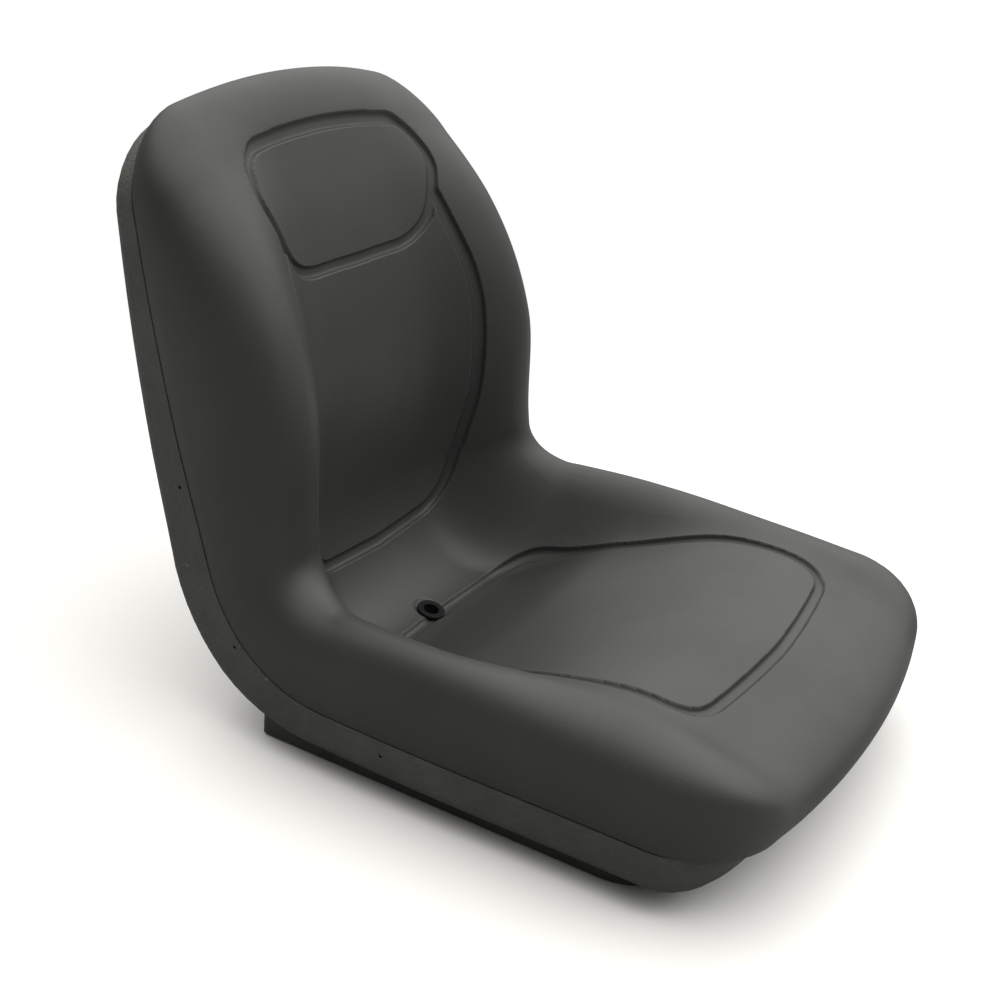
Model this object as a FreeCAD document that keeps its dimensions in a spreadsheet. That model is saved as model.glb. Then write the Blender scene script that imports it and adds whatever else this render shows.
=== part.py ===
import FreeCAD, Part
import math
import os

import Sketcher

# Bucket seat of a ride on mower: a moulded pan with a skirt all round, a vinyl skinned foam cushion
# that fills it, a drain grommet and four threaded inserts.
# The front of the seat points to -Y, +Z is up, and the origin is the middle of the four mounting
# threads on the base plane. Millimetres and degrees throughout.

Vector = FreeCAD.Vector

DIMENSIONS = (
    ("front_y", -252, "front end of the parting line between cushion and pan"),
    ("parting_z", 60, "height of the parting line under the seat"),
    ("seat_run", 376, "straight run of the parting line under the seat"),
    ("bend_radius", 127, "radius of the parting line where the seat turns into the back"),
    ("back_angle", 71, "turn of the parting line from the seat to the back"),
    ("outline_length", 904, "length of the parting line from the front to the top"),
    ("front_corner", 62, "corner radius of the outline at the front"),
    ("top_corner", 58, "corner radius of the outline at the top"),
    ("front_bow", 22, "sweep of the front edge at the bow half width"),
    ("top_bow", 27, "sweep of the top edge at the bow half width"),
    ("bow_half_width", 200, "distance from the middle at which the bows are measured"),
    ("edge_roll", 50, "width of the rolled edge of the cushion"),
    ("roll_power", 0.88, "fullness of the rolled edge, 1 for a round one"),
    ("side_bulge", 9, "overhang of the rolled edge at the sides and top"),
    ("front_bulge", 19.5, "overhang of the rolled edge at the front"),
    ("seat_dish_edge", 0.58, "share of the half width where the seat bolsters start"),
    ("seat_crest_at", 0.97, "share of the half width where the seat bolsters are full"),
    ("back_dish_edge", 0.28, "share of the half width where the back bolsters start"),
    ("back_crest_at", 0.91, "share of the half width where the back bolsters are full"),
    ("dish_reach", 200, "depth inside the outline up to which the dish is formed"),
    ("skirt_clearance", 0.4, "gap between the cushion and the skirt of the pan"),
    ("glue_gap", 0.5, "adhesive film under the cushion"),
    ("pan_wall", 4, "skirt and floor of the pan"),
    ("rim_gap", 1.5, "shadow gap between the cushion and the rim of the pan"),
    ("seat_pan_depth", 37, "depth of the pan under the seat"),
    ("bend_pan_depth", 43, "depth of the pan from the middle of the bend to the back"),
    ("top_pan_depth", 19, "depth of the pan at the top"),
    ("front_setback", 14, "set back of the pan behind the front edge of the cushion"),
    ("top_setback", 7, "set back of the pan below the top edge of the cushion"),
    ("pan_edge", 10, "rounding of the lower edge of the skirt"),
    ("chin_reach", 31, "set back of the lower edge of the skirt at the front"),
    ("chin_start", 6, "straight part of the skirt at the front"),
    ("plinth_width", 410, "plinth under the pan"),
    ("plinth_front", -172, "front of the plinth"),
    ("plinth_rear", 197, "rear of the plinth"),
    ("plinth_rise", 60, "plinth walls before they are trimmed to the pan"),
    ("plinth_front_corner", 50, "front corner radius of the plinth"),
    ("plinth_rear_corner", 8, "rear corner radius of the plinth"),
    ("plinth_edge", 1.5, "chamfer of the lower edge of the plinth"),
    ("rib_recess", 5, "ribs stand back from the base plane"),
    ("rib_thickness", 4, "ribs inside the plinth"),
    ("long_rib_x", 76, "ribs that run front to back, from the middle"),
    ("cross_rib_y", -92, "first rib that runs side to side"),
    ("cross_rib_span", 184, "first to last rib that runs side to side"),
    ("bolt_spacing_x", 285.75, "mounting threads, side to side"),
    ("bolt_spacing_y", 292.1, "mounting threads, front to back"),
    ("boss_radius", 18, "bosses round the threads"),
    ("insert_radius", 6.5, "outside of a threaded insert"),
    ("insert_length", 18, "threaded insert"),
    ("thread_radius", 3.97, "bore of a threaded insert"),
    ("switch_width", 64, "opening for an operator switch, side to side"),
    ("switch_length", 46, "opening for an operator switch, front to back"),
    ("switch_y", 46, "middle of the opening for an operator switch"),
    ("vent_radius", 1.6, "vent hole in the skirt"),
    ("drain_along", 406, "drain, along the parting line"),
    ("drain_radius", 7.5, "bore of the drain grommet"),
    ("drain_tube_radius", 9.5, "outside of the grommet tube"),
    ("drain_flange_radius", 13, "flange of the grommet"),
    ("drain_flange_thickness", 2.4, "flange of the grommet"),
)

# Stations along the outline: share of its length, half width, bolster crest and middle of the dish,
# the last two measured from the parting line.
STATION_COLUMNS = ("at", "half_width", "crest", "dish")
STATIONS = (
    ("front", 0.00, 228, 78, 42),
    ("thigh", 0.15, 228, 84, 75),
    ("hip", 0.32, 229, 91, 33),
    ("bend", 0.45, 225, 82, -21),
    ("lumbar", 0.58, 218, 78, 9),
    ("waist", 0.72, 216, 106, 45),
    ("shoulder", 0.86, 208, 90, 53),
    ("top", 1.00, 193, 25, 40),
)

# Vent holes of the skirt: distance along the parting line and depth below it
VENTS = ((315, 15), (467, 9), (602, 10))

# Steps of the contours: half a corner, an end edge, and the side along the seat, the bend and the back
CORNER_STEPS = 4
END_STEPS = 6
SIDE_STEPS = (8, 13, 9)

# Bands between the contours
ROLL_BANDS = 7
DISH_BANDS = 7
EDGE_BANDS = 3

# Distance under which points count as one and corners as level
NEAR = 1e-6

doc = FreeCAD.newDocument("mower_seat")
sheet = doc.addObject("Spreadsheet::Sheet", "dimensions")


def write_sheet():
    """Fill the sheet with the driving dimensions and the stations, each cell with its alias."""
    lines = list(DIMENSIONS)
    for station in STATIONS:
        for column, value in zip(STATION_COLUMNS, station[1:]):
            lines.append((f"{station[0]}_{column}", value, f"station at the {station[0]}: {column}"))
    for row, (alias, value, meaning) in enumerate(lines, 1):
        sheet.set(f"A{row}", meaning)
        sheet.set(f"B{row}", str(value))
        sheet.setAlias(f"B{row}", alias)
    doc.recompute()
    return {alias: float(sheet.get(alias)) for alias, value, meaning in lines}


size = write_sheet()


def clip(value, low, high):
    return min(max(value, low), high)


def smooth(share):
    share = clip(share, 0, 1)
    return share * share * (3 - 2 * share)


def station_value(column, along):
    """Smooth curve through one column of the stations, at a distance along the parting line."""
    places = [size[f"{station[0]}_at"] * size["outline_length"] for station in STATIONS]
    values = [size[f"{station[0]}_{column}"] for station in STATIONS]
    last = len(places) - 1
    along = clip(along, 0, places[last])
    slot = max(index for index in range(last) if places[index] <= along)
    slopes = []
    for index in (slot, slot + 1):
        before, after = max(index - 1, 0), min(index + 1, last)
        slopes.append((values[after] - values[before]) / (places[after] - places[before]))
    span = places[slot + 1] - places[slot]
    share = (along - places[slot]) / span
    rise = share * share * (3 - 2 * share)
    leave = share * (1 - share) ** 2 * span * slopes[0]
    arrive = share * share * (share - 1) * span * slopes[1]
    return values[slot] * (1 - rise) + values[slot + 1] * rise + leave + arrive


def spine(along):
    """Side view of the parting line: straight seat, round bend, straight back."""
    full_turn = math.radians(size["back_angle"])
    turn = clip((along - size["seat_run"]) / size["bend_radius"], 0, full_turn)
    run = max(along - size["seat_run"] - size["bend_radius"] * full_turn, 0)
    y = size["front_y"] + min(along, size["seat_run"])
    y += size["bend_radius"] * math.sin(turn) + run * math.cos(full_turn)
    z = size["parting_z"] + size["bend_radius"] * (1 - math.cos(turn)) + run * math.sin(full_turn)
    return y, z, turn


def place(x, along, height):
    """Point at a height above the parting line, square to it."""
    y, z, turn = spine(along)
    return Vector(x, y - height * math.sin(turn), z + height * math.cos(turn))


def bowed(x, along):
    """Distance along the parting line once the front and top edges are bowed."""
    share = along / size["outline_length"]
    reach = (x / size["bow_half_width"]) ** 2
    top = size["top_bow"] * reach * smooth((share - 0.62) / 0.38)
    front = size["front_bow"] * reach * (1 - smooth(share / 0.35))
    return along - top + front


def corner_of(along):
    """Corner radius of the nearer end of the outline and the distance to that end."""
    if along > size["outline_length"] / 2:
        return size["top_corner"], size["outline_length"] - along, 1
    return size["front_corner"], along, -1


def rim(x, along, inset):
    """Depth inside the outline, and the way out of it across and along the seat."""
    radius, end_distance, end_side = corner_of(along)
    over_side = abs(x) - (station_value("half_width", along) - radius)
    over_end = radius - end_distance
    beside, beyond = max(over_side, 0), max(over_end, 0)
    reach = math.hypot(beside, beyond)
    depth = radius - inset - reach - min(max(over_side, over_end), 0)
    if reach < 1e-6:
        return depth, 0, 0
    return depth, math.copysign(beside / reach, x), end_side * beyond / reach


def dish_height(x, along):
    """Height of the cushion above the parting line, away from its rolled edge."""
    back_share = smooth((along / size["outline_length"] - 0.30) / 0.25)
    dish_edge = size["seat_dish_edge"] + (size["back_dish_edge"] - size["seat_dish_edge"]) * back_share
    crest_at = size["seat_crest_at"] + (size["back_crest_at"] - size["seat_crest_at"]) * back_share
    across = clip(abs(x) / station_value("half_width", along), 0, 1)
    dish = station_value("dish", along)
    crest = station_value("crest", along)
    return dish + (crest - dish) * smooth((across - dish_edge) / (crest_at - dish_edge))


def cushion_point(x, along):
    """Top of the cushion: the dish with an edge that rolls over to the parting line."""
    depth, out_x, out_along = rim(x, along, 0)
    share = clip(depth / size["edge_roll"], 0, 1)
    base = math.sqrt(1 - (1 - share) ** 2)
    front_share = clip(-out_along, 0, 1) ** 2
    bulge = size["side_bulge"] + (size["front_bulge"] - size["side_bulge"]) * front_share
    bulge *= math.sin(2 * math.asin(base))
    height = dish_height(x, along) * base ** size["roll_power"]
    return place(x + out_x * bulge, bowed(x, along) + out_along * bulge, height)


def bend_end():
    """Distance along the parting line at which the back starts."""
    return size["seat_run"] + size["bend_radius"] * math.radians(size["back_angle"])


def pan_depth(along):
    """Depth of the pan: even under the seat, deeper round the bend and shallower towards the top."""
    bend_share = clip(2 * (along - size["seat_run"]) / (bend_end() - size["seat_run"]), 0, 1)
    back_share = clip((along - bend_end()) / (size["outline_length"] - bend_end()), 0, 1)
    depth = size["seat_pan_depth"] + (size["bend_pan_depth"] - size["seat_pan_depth"]) * bend_share
    return depth + (size["top_pan_depth"] - size["bend_pan_depth"]) * back_share


def skirt_place(x, along, inset, turn):
    """Place on the skirt of a tray, set back at its ends and moved in by the turn of its lower edge."""
    depth, out_x, out_along = rim(x, along, inset)
    end_share = out_along ** 2
    front_share = end_share if out_along < 0 else 0
    setback = size["front_setback"] if out_along < 0 else size["top_setback"]
    reach = size["pan_edge"] + (size["chin_reach"] - size["pan_edge"]) * front_share - inset
    inwards = setback * end_share + reach * (1 - math.cos(turn))
    skirt_x = x - out_x * inwards
    return skirt_x, bowed(skirt_x, along - out_along * inwards), front_share


def level_point(x, along, inset, height):
    """Point of the skirt of a tray at one height above the parting line."""
    skirt_x, skirt_along, front_share = skirt_place(x, along, inset, 0)
    return place(skirt_x, skirt_along, height)


def edge_point(x, along, inset, floor, turn):
    """Point of the rounded lower edge of a tray, from the straight skirt at no turn to the floor."""
    skirt_x, skirt_along, front_share = skirt_place(x, along, inset, turn)
    straight = pan_depth(skirt_along) - size["pan_edge"]
    straight += (size["chin_start"] - straight) * front_share
    drop = pan_depth(skirt_along) - floor - straight
    return place(skirt_x, skirt_along, -straight - drop * math.sin(turn))


def corner_nodes(end, inset):
    """Right corner of one end of the outline moved inwards, from the end edge round to the side."""
    reach = max(size["front_corner"] if end < 0 else size["top_corner"], inset)
    bend = reach - inset
    nodes = []
    for step in range(2 * CORNER_STEPS + 1):
        turn = math.pi / 4 * step / CORNER_STEPS
        end_distance = reach - bend * math.cos(turn)
        along = end_distance if end < 0 else size["outline_length"] - end_distance
        nodes.append((station_value("half_width", along) - reach + bend * math.sin(turn), along))
    return nodes


def end_stretch(corner):
    """Nodes of an end edge from the middle of its left corner to the middle of its right one."""
    right = corner[:len(corner) // 2 + 1]
    half, along = right[0]
    straight = [(half * (2 * step / END_STEPS - 1), along) for step in range(1, END_STEPS)]
    return [(-x, place_along) for x, place_along in reversed(right)] + straight + right


def side_places(first, last):
    """Places along the side of a contour, closest together round the bend."""
    marks = (first, size["seat_run"], bend_end(), last)
    places = []
    for start, end, steps in zip(marks, marks[1:], SIDE_STEPS):
        places += [start + (end - start) * step / steps for step in range(steps)]
    return places[1:]


def contour(inset):
    """Front, right, top and left stretches of the outline moved inwards, each from corner to corner."""
    front, top = corner_nodes(-1, inset), corner_nodes(1, inset)
    run = side_places(front[-1][1], top[-1][1])
    right = front[len(front) // 2:]
    right += [(station_value("half_width", along) - inset, along) for along in run]
    right += reversed(top[len(top) // 2:])
    left = [(-x, along) for x, along in right]
    return end_stretch(front), right, end_stretch(top), left


def ring(rule, inset, straight_ends=False):
    """Four stretches of points round the seat, as a rule gives them on a contour."""
    stretches = [[rule(x, along) for x, along in stretch] for stretch in contour(inset)]
    if straight_ends:
        for stretch in stretches[::2]:
            first, span = stretch[0], stretch[-1] - stretch[0]
            stretch[:] = [first + span * ((point.x - first.x) / span.x) for point in stretch]
    return stretches


def level_ring(inset, height):
    """Contour of the skirt of a tray at one height above the parting line."""
    return ring(lambda x, along: level_point(x, along, inset, height), inset)


def cushion_rings():
    """Contours of the cushion from the parting line over the rolled edge to the middle of the dish."""
    roll = size["edge_roll"]
    depths = [roll * (1 - math.cos(math.pi / 2 * step / ROLL_BANDS)) for step in range(ROLL_BANDS + 1)]
    band = (size["dish_reach"] - roll) / DISH_BANDS
    depths += [roll + band * step for step in range(1, DISH_BANDS + 1)]
    return [ring(cushion_point, depth, depth == depths[-1]) for depth in depths]


def tray_rings(inset, floor, bands):
    """Contours of a tray from the straight part of its skirt round the lower edge to its floor."""
    turns = [math.pi / 2 * step / bands for step in range(bands + 1)]
    return [ring(lambda x, along: edge_point(x, along, inset, floor, turn), inset) for turn in turns]


def distinct(points):
    """Points without those that repeat the one before."""
    kept = points[:1]
    for point in points[1:]:
        if (point - kept[-1]).Length > NEAR:
            kept.append(point)
    return kept


def flat_face(points):
    return Part.Face(Part.makePolygon(points + points[:1]))


def patch(first, second, third, fourth):
    """Flat face between four points, or two of them where the points don't lie level."""
    corners = distinct([first, second, third, fourth, first])[:-1]
    if len(corners) < 3:
        return []
    if len(corners) == 4:
        normal = (corners[1] - corners[0]).cross(corners[2] - corners[0])
        if abs(normal.dot(corners[3] - corners[0])) > NEAR * normal.Length:
            return [flat_face(corners[:3]), flat_face(corners[2:] + corners[:1])]
    return [flat_face(corners)]


def lid(stretches):
    """Strips from side to side that close a ring, with the end edges in the first and last one."""
    front, right, top, left = [distinct(stretch) for stretch in stretches]
    last = len(right) - 1
    faces = []
    for index in range(last):
        ahead = list(reversed(top[1:-1])) if index + 1 == last else []
        behind = front[1:-1] if index == 0 else []
        outline = right[index:index + 2] + ahead + [left[index + 1], left[index]] + behind
        faces.append(flat_face(outline))
    return faces


def ring_solid(rings):
    """Solid with bands of patches between a chain of rings, closed across the first and the last one."""
    faces = lid(rings[0]) + lid(rings[-1])
    for ring_pair in zip(rings, rings[1:]):
        for one, other in zip(*ring_pair):
            for index in range(len(one) - 1):
                faces += patch(one[index], one[index + 1], other[index + 1], other[index])
    shell = Part.makeShell(faces)
    shell.sewShape()
    solid = Part.makeSolid(Part.Shell(shell.Faces))
    if solid.Volume < 0:
        solid.reverse()
    return solid


def feature(name, shape):
    """Document object that holds a formed shape."""
    item = doc.addObject("Part::Feature", name)
    item.Shape = shape
    return item


def boolean(kind, name, base, tools):
    """Cut or fuse of document objects."""
    item = doc.addObject(f"Part::{kind}", name)
    if kind.startswith("Multi"):
        item.Shapes = [base] + tools
    else:
        item.Base = base
        item.Tool = tools[0]
    return item


def bind(item, **cells):
    """Bind properties of a document object to expressions of the sheet."""
    for name, expression in cells.items():
        item.setExpression(name.replace("__", "."), expression)


def origin_plane(body, role):
    return next(plane for plane in body.Origin.OriginFeatures if plane.Role == role)


def add_sketch(body, name, role="XY_Plane"):
    """Sketch on one of the body's own origin planes."""
    sketch = body.newObject("Sketcher::SketchObject", name)
    sketch.AttachmentSupport = [(origin_plane(body, role), "")]
    sketch.MapMode = "FlatFace"
    return sketch


def add_rectangle(sketch, name, low, high, cells):
    """Rectangle whose left, bottom, right and top distances from the axes come from the sheet."""
    corners = [Vector(low[0], low[1]), Vector(high[0], low[1]), Vector(*high), Vector(low[0], high[1])]
    first = sketch.GeometryCount
    for index in range(4):
        sketch.addGeometry(Part.LineSegment(corners[index], corners[(index + 1) % 4]))
    for index in range(4):
        following = first + (index + 1) % 4
        sketch.addConstraint(Sketcher.Constraint("Coincident", first + index, 2, following, 1))
        level = "Horizontal" if index % 2 == 0 else "Vertical"
        sketch.addConstraint(Sketcher.Constraint(level, first + index))
    for index, (kind, vertex, value) in enumerate((("DistanceX", 0, low[0]), ("DistanceY", 0, low[1]),
                                                   ("DistanceX", 2, high[0]), ("DistanceY", 2, high[1]))):
        number = sketch.addConstraint(Sketcher.Constraint(kind, -1, 1, first + vertex, 1, value))
        sketch.renameConstraint(number, f"{name}{index}")
        sketch.setExpression(f"Constraints.{name}{index}", cells[index])


def add_circles(sketch, name, radius_cell):
    """One circle on each of the four mounting threads."""
    half_x, half_y = size["bolt_spacing_x"] / 2, size["bolt_spacing_y"] / 2
    for index, (side, end) in enumerate(((-1, -1), (1, -1), (1, 1), (-1, 1))):
        centre = Vector(side * half_x, end * half_y, 0)
        circle = sketch.addGeometry(Part.Circle(centre, Vector(0, 0, 1), size[radius_cell]))
        for kind, value, cell, sign in (("DistanceX", centre.x, "bolt_spacing_x", side),
                                        ("DistanceY", centre.y, "bolt_spacing_y", end)):
            number = sketch.addConstraint(Sketcher.Constraint(kind, -1, 1, circle, 3, value))
            sketch.renameConstraint(number, f"{name}{kind}{index}")
            sketch.setExpression(f"Constraints.{name}{kind}{index}", f"{sign} * dimensions.{cell} / 2")
        number = sketch.addConstraint(Sketcher.Constraint("Radius", circle, size[radius_cell]))
        sketch.renameConstraint(number, f"{name}Radius{index}")
        sketch.setExpression(f"Constraints.{name}Radius{index}", f"dimensions.{radius_cell}")


def add_pad(body, name, sketch, length, **more):
    """Pad upwards from a sketch, with its length bound to the sheet."""
    pad = body.newObject("PartDesign::Pad", name)
    pad.Profile = sketch
    bind(pad, Length=length, **more)
    doc.recompute()
    return pad


def upright_edges(shape, side):
    """Names of the straight edges that run up and down, ahead of the origin or behind it."""
    names = []
    for index, edge in enumerate(shape.Edges, 1):
        ends = [vertex.Point for vertex in edge.Vertexes]
        upright = len(ends) == 2 and math.hypot(ends[0].x - ends[1].x, ends[0].y - ends[1].y) < NEAR
        if upright and ends[0].y * side > 0:
            names.append(f"Edge{index}")
    return names


def outer_base_edges(shape):
    """Names of the outer edges of the wall on the base plane."""
    names = []
    half_wall = size["pan_wall"] / 2
    side, front, rear = size["plinth_width"] / 2, size["plinth_front"], size["plinth_rear"]
    for index, edge in enumerate(shape.Edges, 1):
        box = edge.BoundBox
        beside = max(box.XMax, -box.XMin) > side - half_wall
        beyond = box.YMin < front + half_wall or box.YMax > rear - half_wall
        if abs(box.ZMax) < NEAR and (beside or beyond):
            names.append(f"Edge{index}")
    return names


def dress_edges(body, kind, name, base, edges, **cells):
    """Fillet or chamfer on named edges of a feature, with its size bound to the sheet."""
    dressed = body.newObject(f"PartDesign::{kind}", name)
    dressed.Base = (base, edges)
    bind(dressed, **cells)
    doc.recompute()
    return dressed


def make_plinth():
    """Ribbed plinth under the pan: rounded wall, ribs both ways and a boss round each thread."""
    body = doc.addObject("PartDesign::Body", "plinth")
    width, front, rear = size["plinth_width"] / 2, size["plinth_front"], size["plinth_rear"]
    wall = size["pan_wall"]
    outer = add_sketch(body, "plinth_outline")
    add_rectangle(outer, "outline", (-width, front), (width, rear),
                  ("-dimensions.plinth_width / 2", "dimensions.plinth_front",
                   "dimensions.plinth_width / 2", "dimensions.plinth_rear"))
    block = add_pad(body, "plinth_block", outer, "dimensions.plinth_rise")
    front_corners = dress_edges(body, "Fillet", "plinth_front_corners", block,
                                upright_edges(block.Shape, -1), Radius="dimensions.plinth_front_corner")
    corners = dress_edges(body, "Fillet", "plinth_rear_corners", front_corners,
                          upright_edges(front_corners.Shape, 1), Radius="dimensions.plinth_rear_corner")
    hollow = body.newObject("PartDesign::Thickness", "plinth_wall")
    heights = [face.CenterOfMass.z for face in corners.Shape.Faces]
    open_faces = (heights.index(max(heights)), heights.index(min(heights)))
    hollow.Base = (corners, [f"Face{index + 1}" for index in open_faces])
    hollow.Reversed = True
    bind(hollow, Value="dimensions.pan_wall")
    doc.recompute()
    dress_edges(body, "Chamfer", "plinth_lower_edge", hollow, outer_base_edges(hollow.Shape),
                Size="dimensions.plinth_edge")

    cross = add_sketch(body, "cross_rib_outline")
    rib_y, rib = size["cross_rib_y"], size["rib_thickness"] / 2
    add_rectangle(cross, "cross", (-width + wall / 2, rib_y - rib), (width - wall / 2, rib_y + rib),
                  ("-dimensions.plinth_width / 2 + dimensions.pan_wall / 2",
                   "dimensions.cross_rib_y - dimensions.rib_thickness / 2",
                   "dimensions.plinth_width / 2 - dimensions.pan_wall / 2",
                   "dimensions.cross_rib_y + dimensions.rib_thickness / 2"))
    bind(cross, AttachmentOffset__Base__z="dimensions.rib_recess")
    cross_rib = add_pad(body, "cross_rib", cross, "dimensions.plinth_rise - dimensions.rib_recess")
    cross_ribs = body.newObject("PartDesign::LinearPattern", "cross_ribs")
    cross_ribs.Originals = [cross_rib]
    cross_ribs.Direction = (cross, ["V_Axis"])
    cross_ribs.Occurrences = 3
    bind(cross_ribs, Length="dimensions.cross_rib_span")
    body.Tip = cross_ribs
    doc.recompute()

    along = add_sketch(body, "long_rib_outline")
    rib_x = size["long_rib_x"]
    add_rectangle(along, "along", (rib_x - rib, front + wall / 2), (rib_x + rib, rear - wall / 2),
                  ("dimensions.long_rib_x - dimensions.rib_thickness / 2",
                   "dimensions.plinth_front + dimensions.pan_wall / 2",
                   "dimensions.long_rib_x + dimensions.rib_thickness / 2",
                   "dimensions.plinth_rear - dimensions.pan_wall / 2"))
    bind(along, AttachmentOffset__Base__z="dimensions.rib_recess")
    long_rib = add_pad(body, "long_rib", along, "dimensions.plinth_rise - dimensions.rib_recess")
    long_ribs = body.newObject("PartDesign::Mirrored", "long_ribs")
    long_ribs.Originals = [long_rib]
    long_ribs.MirrorPlane = (origin_plane(body, "YZ_Plane"), [""])
    body.Tip = long_ribs
    doc.recompute()

    boss_outline = add_sketch(body, "boss_outline")
    add_circles(boss_outline, "boss", "boss_radius")
    add_pad(body, "bosses", boss_outline, "dimensions.plinth_rise")
    insert_outline = add_sketch(body, "insert_pocket_outline")
    add_circles(insert_outline, "pocket", "insert_radius")
    pockets = body.newObject("PartDesign::Pocket", "insert_pockets")
    pockets.Profile = insert_outline
    pockets.Reversed = True
    bind(pockets, Length="dimensions.insert_length")
    doc.recompute()
    return body


def make_inserts():
    """Four threaded inserts, flush with the base plane."""
    body = doc.addObject("PartDesign::Body", "inserts")
    body.AllowCompound = True
    outline = add_sketch(body, "insert_outline")
    add_circles(outline, "outside", "insert_radius")
    add_circles(outline, "bore", "thread_radius")
    add_pad(body, "insert_rings", outline, "dimensions.insert_length")
    return body


def drain_placement():
    """Frame of the drain: its axis square to the parting line, its origin on the dished cover."""
    along = size["drain_along"]
    turn = spine(along)[2]
    upright = FreeCAD.Rotation(Vector(1, 0, 0), math.degrees(turn))
    return FreeCAD.Placement(place(0, along, dish_height(0, along)), upright)


def make_drain_room():
    """Space that the grommet takes up: its tube and its flange."""
    tube = doc.addObject("Part::Cylinder", "drain_tube_room")
    bind(tube, Radius="dimensions.drain_tube_radius", Height="dimensions.seat_pan_depth")
    flange = doc.addObject("Part::Cylinder", "drain_flange_room")
    bind(flange, Radius="dimensions.drain_flange_radius", Height="2 * dimensions.seat_pan_depth")
    frame = drain_placement()
    sink = FreeCAD.Placement(Vector(0, 0, -size["drain_flange_thickness"] / 2), FreeCAD.Rotation())
    drop = FreeCAD.Placement(Vector(0, 0, -size["seat_pan_depth"]), FreeCAD.Rotation())
    flange.Placement = frame.multiply(sink)
    tube.Placement = frame.multiply(drop)
    return boolean("MultiFuse", "drain_room", tube, [flange])


def make_grommet():
    """Drain grommet: a flange on the cover and a tube down through the foam and the pan."""
    body = doc.addObject("PartDesign::Body", "grommet")
    sketch = add_sketch(body, "grommet_section", "XZ_Plane")
    bore, tube = size["drain_radius"], size["drain_tube_radius"]
    flange, thick = size["drain_flange_radius"], size["drain_flange_thickness"]
    reach = drain_reach()
    outline = ((bore, -reach), (tube, -reach), (tube, -thick / 2), (flange, -thick / 2),
               (flange, thick / 2), (bore, thick / 2))
    points = [Vector(x, y, 0) for x, y in outline]
    for index, point in enumerate(points):
        sketch.addGeometry(Part.LineSegment(point, points[(index + 1) % len(points)]))
    for index in range(len(points)):
        following = (index + 1) % len(points)
        sketch.addConstraint(Sketcher.Constraint("Coincident", index, 2, following, 1))
    for index, (cell, sign) in {0: ("drain_radius", 1), 2: ("drain_tube_radius", 1),
                                4: ("drain_flange_radius", 1)}.items():
        number = sketch.addConstraint(Sketcher.Constraint("DistanceX", -1, 1, index, 1, points[index].x))
        sketch.renameConstraint(number, f"radius{index}")
        sketch.setExpression(f"Constraints.radius{index}", f"dimensions.{cell}")
    turn = body.newObject("PartDesign::Revolution", "grommet_turn")
    turn.Profile = sketch
    turn.ReferenceAxis = (sketch, ["V_Axis"])
    turn.Angle = 360
    body.Placement = drain_placement()
    doc.recompute()
    return body


def drain_reach():
    """Length of the grommet tube below the cover: it ends flush under the floor of the pan."""
    along = size["drain_along"]
    return pan_depth(along) + dish_height(0, along)


def make_vents():
    """Round bars across the seat that open the vent holes in both sides of the skirt."""
    bars = []
    for index, (along, depth) in enumerate(VENTS):
        bar = doc.addObject("Part::Cylinder", f"vent{index}")
        bind(bar, Radius="dimensions.vent_radius", Height="2 * dimensions.hip_half_width + 20")
        start = place(-size["hip_half_width"] - 10, along, -depth)
        bar.Placement = FreeCAD.Placement(start, FreeCAD.Rotation(Vector(0, 1, 0), 90))
        bars.append(bar)
    return bars


def make_switch_opening():
    opening = doc.addObject("Part::Box", "switch_opening")
    bind(opening, Length="dimensions.switch_width", Width="dimensions.switch_length",
         Height="dimensions.plinth_rise", Placement__Base__x="-dimensions.switch_width / 2",
         Placement__Base__y="dimensions.switch_y - dimensions.switch_length / 2")
    return opening


def make_cushion(drain_room):
    """Cushion: dished top, rolled edge, a step at the parting line and a body that fills the pan."""
    inset = size["pan_wall"] + size["skirt_clearance"]
    floor = size["pan_wall"] + size["glue_gap"]
    rings = list(reversed(cushion_rings())) + [level_ring(inset, 0)] + tray_rings(inset, floor, 1)
    return boolean("Cut", "cushion", feature("cushion_block", ring_solid(rings)), [drain_room])


def make_pan(drain_room):
    """Pan: a tray with a ribbed plinth under it, hollowed and pierced."""
    wall = size["pan_wall"]
    tray_chain = [level_ring(0, -size["rim_gap"])] + tray_rings(0, 0, EDGE_BANDS)
    tray = feature("tray", ring_solid(tray_chain))
    filled = boolean("MultiFuse", "filled_pan", tray, [make_plinth()])
    cavity = feature("cavity", ring_solid([level_ring(wall, size["pan_edge"])] + tray_rings(wall, wall, 1)))
    openings = boolean("MultiFuse", "pan_openings", cavity,
                       make_vents() + [make_switch_opening(), drain_room])
    return boolean("Cut", "pan", filled, [openings])


def build():
    """Make every sub-part and give each its node name."""
    drain_room = make_drain_room()
    nodes = {"seat_cushion": make_cushion(drain_room), "seat_pan": make_pan(drain_room),
             "drain_grommet": make_grommet(), "threaded_inserts": make_inserts()}
    for label, item in nodes.items():
        item.Label = label
    doc.recompute()
    return nodes


def check(nodes):
    """Stop if any object failed or any sub-part has no valid shape."""
    for item in doc.Objects:
        if "Invalid" in item.State or "Error" in item.State:
            raise RuntimeError(f"{item.Name} failed: {item.State}")
    for label, item in nodes.items():
        if item.Shape.isNull() or not item.Shape.isValid():
            raise RuntimeError(f"{label} has no valid shape")


def export(nodes):
    os.makedirs("parts", exist_ok=True)
    for label, item in nodes.items():
        item.Shape.exportStep(f"parts/{label}.step")


parts = build()
check(parts)
export(parts)
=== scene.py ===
import math

import bmesh
import bpy
import numpy as np
from bpy.props import (
    FloatProperty, FloatVectorProperty, IntProperty, IntVectorProperty, PointerProperty)
from mathutils import Matrix, Vector


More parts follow.
